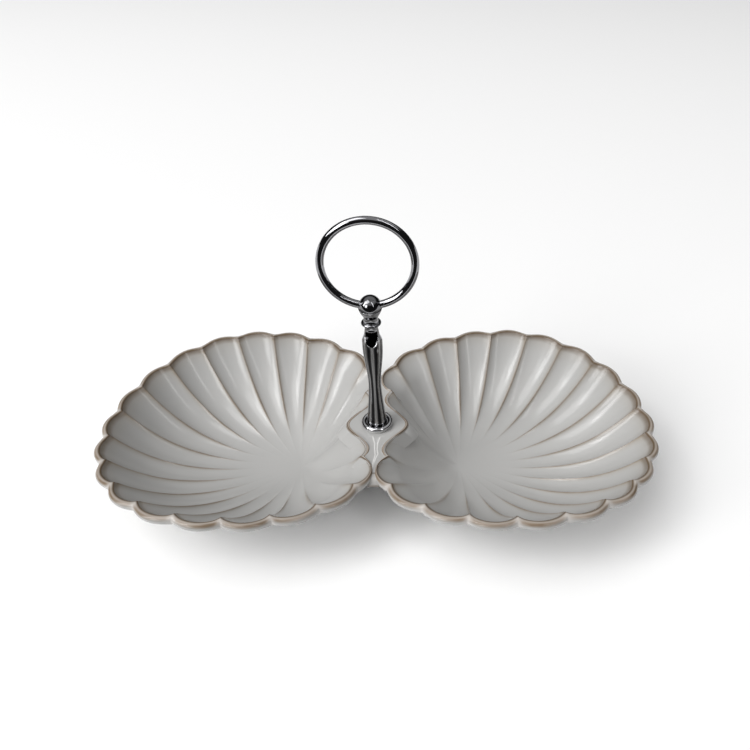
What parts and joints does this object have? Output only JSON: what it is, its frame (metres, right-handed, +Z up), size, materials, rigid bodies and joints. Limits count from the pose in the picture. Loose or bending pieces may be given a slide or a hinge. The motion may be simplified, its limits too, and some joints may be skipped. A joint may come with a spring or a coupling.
{
  "type": "chip and dip server",
  "caption": "Double scallop-shell serving dish for chips and dip, with a fluted metal post and an upright carrying ring clamped to its middle.",
  "frame": {"origin": "on the table, under the middle of the handle", "axes": "+X along the two bowls, +Z up, front towards -Y"},
  "size_m": [0.294, 0.1528, 0.1561],
  "materials": {
    "glaze": "glossy warm grey-white glaze that breaks brown on the ribs and the lip",
    "clear_washer": "translucent soft plastic",
    "dark_chrome": "polished dark nickel",
    "rubber": "matte black",
    "zinc_steel": "zinc plated"
  },
  "bodies": {
    "server": {"dish": "glaze", "seat_washer": "clear_washer", "base_collar": "dark_chrome", "handle_post": "dark_chrome", "finial": "dark_chrome", "ring_ball": "dark_chrome", "carry_ring": "dark_chrome"},
    "clamp_washers": {"under_washer": "rubber", "steel_washer": "zinc_steel"},
    "screw": {"clamp_screw": "zinc_steel"}
  },
  "joints": [
    {"name": "washer_drop", "type": "slide", "parent": "server", "child": "clamp_washers", "axis": [0, 0, 1], "range_m": [-0.008, 0]},
    {"name": "screw_turn", "type": "hinge", "parent": "clamp_washers", "child": "screw", "pos_m": [0, 0, 0.03], "axis": [0, 0, 1], "range_deg": [-3600, 0]}
  ],
  "couplings": [
    {"joint": "screw_turn", "follows": "washer_drop", "rad_per_m": 7854}
  ]
}
